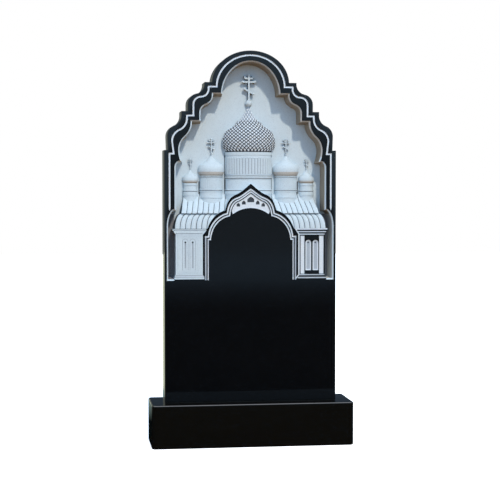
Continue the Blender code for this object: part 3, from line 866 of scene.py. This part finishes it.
drumBand = dict(rise=0.0024, slope=0.0004, ringLap=0.0005, widestRing=0.002)
arcadeMoulding = dict(width=0.60, embed=0.001)


def drumProfile(shape):
    wall = shape["radius"]
    rise, slope = drumBand["rise"], drumBand["slope"]
    profile = [(0, shape["bottom"]), (wall, shape["bottom"])]
    for low, high in shape["bands"]:
        profile += [(wall, low), (wall + rise, low + slope), (wall + rise, high - slope), (wall, high)]
    if profile[-1][1] < shape["top"]:
        profile.append((wall, shape["top"]))
    return profile + [(0, shape["top"])]


def darkRings(shape):
    # the narrow gaps between neighbouring bands, given painted dark shade
    lap = drumBand["ringLap"]
    gaps = [(below[1], above[0]) for below, above in zip(shape["bands"], shape["bands"][1:])]
    return [(low - lap, high + lap) for low, high in gaps if high - low < drumBand["widestRing"]]


def drumForm(side, shape):
    ratio = shape["relief"] / shape["radius"]
    form = turnedForm(drumProfile(shape), side * shape["x"], ratio, 64, darkRings(shape))
    arcade = shape["arcade"]
    if arcade:
        # the wall seen inside the little arches, which gets the bay look: painted shade on the main drum
        splitFaces(form, 2, arcade["low"])
        splitFaces(form, 2, arcade["high"])
        for face in form.faces:
            if arcade["low"] < face.calc_center_median().z < arcade["high"]:
                face.material_index = arcade["bay"]
    return form


def arcadeForms(side, shape):
    # round-headed blind arches: mouldings drawn flat, then bent round the drum
    if not shape["arcade"]:
        return []
    forms = []
    count, low, high, depth = (shape["arcade"][key] for key in ("count", "low", "high", "depth"))
    radius, ratio = shape["radius"], shape["relief"] / shape["radius"]
    bay = math.pi / count
    half = 0.5 * bay * radius
    width = arcadeMoulding["width"] * half
    head = arcPoints((0, high - half), (half - width / 2, half), 180, 0, 8)
    outline = strokeOutline([(-half + width / 2, low), *head, (half - width / 2, low)], width)
    for number in range(count):
        form = extrudedOutline(outline, -depth, arcadeMoulding["embed"])
        for vert in form.verts:
            out = radius - vert.co.y
            angle = bay * (number + 0.5) - vert.co.x / radius
            x = side * shape["x"] + out * math.cos(angle)
            vert.co = (x, niche["floor"] - ratio * out * math.sin(angle), vert.co.z)
        setLook(form, isCarved)
        forms.append(form)
    return forms


roofs = dict(
    pitch=0.0186, rise=0.0044, innerSide=0.030, rows=14,
    across=(0.0, 0.05, 0.12, 0.28, 0.5, 0.72, 0.88, 0.95),
    upper=dict(
        top=0.870, eave=0.8030, back=0.040, front=-0.0165, side=0.242, flare=0.014,
        hollow=(0.004, 0.032), turn=(0.006, 0.027),
    ),
    lower=dict(
        top=0.802, eave=0.750, back=-0.001, front=-0.0205, side=0.2645, flare=0.0245, fullness=0.8,
    ),
)


def upperSlope(shape, t):
    # hollow at the top, turning down at the eave
    back, front, top, eave = (shape[key] for key in ("back", "front", "top", "eave"))
    hollow = (back - shape["hollow"][0], top - shape["hollow"][1])
    turn = (front + shape["turn"][0], eave + shape["turn"][1])
    depth, z = bezierPoints((back, top), hollow, turn, (front, eave), 100)[round(100 * t)]
    return depth, z, (top - z) / (top - eave)


def lowerSlope(shape, t):
    # a quarter round
    angle = math.pi / 2 * t
    depth = shape["back"] + (shape["front"] - shape["back"]) * math.sin(angle) ** shape["fullness"]
    return depth, shape["eave"] + (shape["top"] - shape["eave"]) * math.cos(angle), math.sin(angle)


def ribbedRoof(side, shape, slope):
    # round-backed ribs side by side with narrow valleys of painted dark shade, flaring towards the eave
    ribs = math.ceil((shape["side"] - roofs["innerSide"]) / roofs["pitch"])
    cuts, rows = roofs["across"], roofs["rows"]
    columns = ribs * len(cuts)
    bm = bmesh.new()
    bmesh.ops.create_grid(bm, x_segments=columns, y_segments=rows, size=1)
    places = {}
    for vert in bm.verts:
        column = round((vert.co.x + 1) / 2 * columns)
        row = round((vert.co.y + 1) / 2 * rows)
        places[vert] = column
        rib, cut = divmod(column, len(cuts))
        depth, z, spread = slope(shape, 1 - row / rows)
        x = shape["side"] - roofs["pitch"] * (rib + cuts[cut]) - shape["flare"] * (1 - spread)
        rise = roofs["rise"] * math.sqrt(math.sin(math.pi * cuts[cut]))
        vert.co = (side * x, depth - rise, z)
    for face in bm.faces:
        cut = min(places[vert] for vert in face.verts) % len(cuts)
        face.material_index = isGroovePaintedShade if cut in (0, len(cuts) - 1) else isCarved
    backInStone(bm)
    return bm


crosses = dict(
    main=dict(x=0.0, ball=1.187, ballRadius=0.0120, height=0.096, depth=0.0150),
    middle=dict(x=0.132, ball=1.010, ballRadius=0.0048, height=0.052, depth=0.0090),
    outer=dict(x=0.2055, ball=0.9585, ballRadius=0.0032, height=0.034, depth=0.0060),
)
# bars as pairs of (across, up) points, all as shares of the cross's height
crossShape = dict(
    shaft=((0.0, 0.0), (0.0, 0.92)), arms=((-0.225, 0.68), (0.225, 0.68)),
    title=((-0.15, 0.81), (0.15, 0.81)), rest=((-0.155, 0.43), (0.155, 0.25)),
    leftPoint=((-0.15, 0.81), (-0.15, 0.89)), rightPoint=((0.15, 0.81), (0.15, 0.89)),
)
# thickness and bud are shares of the height, the sinks and the foot shares of the part's own size
crossDetail = dict(
    thickness=0.083, bud=0.052, budSink=0.4, foot=0.7, ballSink=0.5, step=0.0003,
    stations=((0.0, 1.0), (0.12, 0.75), (0.88, 0.75), (1.0, 1.0)),
)


def rod(start, end, thickness, depth):
    # a bar of a cross, waisted between its ends
    length = math.dist(start, end)
    along = ((end[0] - start[0]) / length, (end[1] - start[1]) / length)
    across = (-along[1], along[0])
    outline = []
    stations = crossDetail["stations"]
    for line, sign in ((stations, 1), (stations[::-1], -1)):
        for share, width in line:
            offset = sign * width * thickness / 2
            point = (start[k] + along[k] * share * length + across[k] * offset for k in (0, 1))
            outline.append(tuple(point))
    return extrudedOutline(outline, niche["floor"] - depth, bedDepth)


def bead(x, z, radius, depth):
    bm = bmesh.new()
    bmesh.ops.create_uvsphere(bm, u_segments=16, v_segments=10, radius=radius)
    bmesh.ops.translate(bm, verts=bm.verts[:], vec=(x, depth, z))
    setLook(bm, isCarved)
    return bm


def crossForms(side, shape):
    # an eight-pointed cross on a ball: its bars end in buds and two points rise from the short top bar
    x = side * shape["x"]
    height, ballRadius = shape["height"], shape["ballRadius"]
    foot = shape["ball"] + crossDetail["foot"] * ballRadius
    thick = crossDetail["thickness"] * height
    forms = []
    for number, ends in enumerate(crossShape.values()):
        start, end = ((x + across * height, foot + up * height) for across, up in ends)
        form = rod(start, end, thick, shape["depth"] - crossDetail["step"] * number)
        form.normal_update()
        # the sides of the bars get painted dark shade
        for face in form.faces:
            face.material_index = isGroovePaintedShade if isSideFace(face) else isCarved
        forms.append(form)
    budDepth = niche["floor"] - shape["depth"] + crossDetail["budSink"] * thick
    for across, up in (crossShape["shaft"][1], *crossShape["arms"], *crossShape["rest"]):
        forms.append(bead(x + across * height, foot + up * height, crossDetail["bud"] * height, budDepth))
    ballDepth = niche["floor"] - crossDetail["ballSink"] * ballRadius
    forms.append(bead(x, shape["ball"], ballRadius, ballDepth))
    return forms


def churchForms():
    forms = [latticeDome(domes["main"]), latticeCore(domes["main"]), drumForm(1, drums["main"])]
    forms += crossForms(1, crosses["main"]) + arcadeForms(1, drums["main"])
    for side in (-1, 1):
        for size in ("middle", "outer"):
            forms += [sideDomeForm(side, domes[size]), drumForm(side, drums[size])]
            forms += crossForms(side, crosses[size]) + arcadeForms(side, drums[size])
        forms.append(ribbedRoof(side, roofs["upper"], upperSlope))
        forms.append(ribbedRoof(side, roofs["lower"], lowerSlope))
    return forms


whole = bmesh.new()
whole.from_mesh(stele.data)
for form in churchForms():
    addForm(whole, form)
whole.to_mesh(stele.data)
whole.free()
print("church carved:", len(stele.data.polygons), "faces in all")
smoothFaces(stele, block["sharpFrom"])
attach(stele, "root")
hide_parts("stele")


# The plinth

plinthBlock = dict(size=(0.700, 0.210, 0.150), corner=0.014, rim=0.0045, segments=8, sharpFrom=30)


def makePlinth():
    bm = bmesh.new()
    bmesh.ops.create_cube(bm, size=1)
    bmesh.ops.scale(bm, verts=bm.verts[:], vec=plinthBlock["size"])
    bmesh.ops.translate(bm, verts=bm.verts[:], vec=(0, 0, plinthBlock["size"][2] / 2))
    uprights = [edge for edge in bm.edges if edgeSpan(edge, 2) > levelWithin]
    bevelEdges(bm, uprights, plinthBlock["corner"], plinthBlock["segments"])
    bm.normal_update()
    rims = [edge for edge in bm.edges if edgeSpan(edge, 2) < levelWithin]
    bevelEdges(bm, rims, plinthBlock["rim"], plinthBlock["segments"])
    return meshObject(bm, "plinth_block", 0, [plinthGranite])


plinth = makePlinth()
smoothFaces(plinth, plinthBlock["sharpFrom"])
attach(plinth, "root")
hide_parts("plinth")
print("plinth made")


# Floor, light and camera

floorLook = dict(
    size=30.0, seen="#fbfbfb", glow=0.85, roughness=0.9, near="#0f100d", far="#78878f", behind="#f4e6bc",
    bounce="#ac7c40", farToNear=(-11.0, -3.0), toBehind=(0.5, 1.5),
)
skyLook = dict(
    seen="#ffffff", top="#7b9aba", low="#bedcfc", lowToTop=(0.0, 0.5), fill=1.93,
    below="#6c7a85", level="#697b89", above="#a6c8e2", haze="#f4f6ff", hazeGlow=4.5,
    behindLeft="#8b9088", behindRight="#3c4855", belowToLevel=(-0.06, 0.02), levelToAbove=(0.02, 0.11),
    aboveToHaze=(0.55, 0.75), leftToRight=(-0.03, 0.03), aheadToBehind=(-0.1, 0.1),
)
sunLook = dict(direction=(-0.21, 0.67, -0.70), strength=2.4, spread=3.5, colour="#fff3e2")
view = dict(sensor=36.0, lens=99.557, location=(-0.6515, -4.77815, 0.87097), tilt=87.668, turn=-7.769)


def makeFloor():
    # seen as plain pale card; the polish mirrors it dark nearby, bluish far in front and pale behind
    look = floorLook
    bm = bmesh.new()
    bmesh.ops.create_grid(bm, x_segments=1, y_segments=1, size=look["size"] / 2)
    material, tree, shader = newMaterial("studio floor")
    rays = addNode(tree, "ShaderNodeLightPath").outputs
    place = addNode(tree, "ShaderNodeTexCoord").outputs["Object"]
    depth = addNode(tree, "ShaderNodeSeparateXYZ", None, {0: place}).outputs[1]
    ahead = mixColours(tree, ramp(tree, depth, *look["farToNear"]), look["far"], look["near"])
    mirrored = mixColours(tree, ramp(tree, depth, *look["toBehind"]), ahead, look["behind"])
    unseen = mixColours(tree, rays["Is Glossy Ray"], look["bounce"], mirrored)
    colour = mixColours(tree, rays["Is Camera Ray"], unseen, look["seen"])
    tree.links.new(colour, shader.inputs["Base Color"])
    shader.inputs["Roughness"].default_value = look["roughness"]
    shader.inputs["Specular IOR Level"].default_value = 0.0
    # a glow for the camera alone keeps the floor pale up to the horizon and its shadow soft
    glow = combine(tree, "MULTIPLY", rays["Is Camera Ray"], look["glow"])
    shader.inputs["Emission Color"].default_value = toLinear(look["seen"])
    tree.links.new(glow, shader.inputs["Emission Strength"])
    floor = meshObject(bm, "studio_floor", 0, [material])


def makeSky():
    look = skyLook
    world = bpy.data.worlds.new("studio")
    bpy.context.scene.world = world
    world.use_nodes = True
    tree = world.node_tree
    background = tree.nodes["Background"]
    rays = addNode(tree, "ShaderNodeLightPath").outputs
    way = addNode(tree, "ShaderNodeTexCoord").outputs["Generated"]
    across, back, up = addNode(tree, "ShaderNodeSeparateXYZ", None, {0: way}).outputs
    sky = mixColours(tree, ramp(tree, up, *look["lowToTop"]), look["low"], look["top"])
    # the polish mirrors a sky that pales upwards in front, and greys behind the stone
    ahead = mixColours(tree, ramp(tree, up, *look["belowToLevel"]), look["below"], look["level"])
    ahead = mixColours(tree, ramp(tree, up, *look["levelToAbove"]), ahead, look["above"])
    overhead = ramp(tree, up, *look["aboveToHaze"])
    ahead = mixColours(tree, overhead, ahead, look["haze"])
    sideways = ramp(tree, across, *look["leftToRight"])
    behind = mixColours(tree, sideways, look["behindLeft"], look["behindRight"])
    mirrored = mixColours(tree, ramp(tree, back, *look["aheadToBehind"]), ahead, behind)
    unseen = mixColours(tree, rays["Is Glossy Ray"], sky, mirrored)
    colour = mixColours(tree, rays["Is Camera Ray"], unseen, look["seen"])
    tree.links.new(colour, background.inputs["Color"])
    # seen and mirrored sky has strength 1, the light it gives is stronger
    plain = combine(tree, "ADD", rays["Is Camera Ray"], rays["Is Glossy Ray"])
    strength = combine(tree, "MULTIPLY_ADD", plain, 1 - look["fill"], look["fill"])
    # the bright haze overhead draws the thin light line along rounded edges
    haze = combine(tree, "MULTIPLY", rays["Is Glossy Ray"], overhead)
    total = combine(tree, "MULTIPLY_ADD", haze, look["hazeGlow"], strength)
    tree.links.new(total, background.inputs["Strength"])


def makeSun():
    lamp = bpy.data.lights.new("sun", "SUN")
    lamp.energy = sunLook["strength"]
    lamp.angle = math.radians(sunLook["spread"])
    lamp.color = toLinear(sunLook["colour"])[:3]
    sun = bpy.data.objects.new("sun", lamp)
    sun.rotation_euler = Vector(sunLook["direction"]).to_track_quat("-Z", "Y").to_euler()
    # its mirror image would be a hard white spot on the plinth's edge
    sun.visible_glossy = False
    bpy.context.scene.collection.objects.link(sun)


def makeCamera():
    lens = bpy.data.cameras.new("camera")
    lens.sensor_width = view["sensor"]
    lens.lens = view["lens"]
    camera = bpy.data.objects.new("camera", lens)
    camera.location = view["location"]
    camera.rotation_euler = (math.radians(view["tilt"]), 0, math.radians(view["turn"]))
    bpy.context.scene.collection.objects.link(camera)
    bpy.context.scene.camera = camera


makeFloor()
makeSky()
makeSun()
makeCamera()
bpy.context.scene.view_settings.view_transform = "Standard"
print("studio ready")
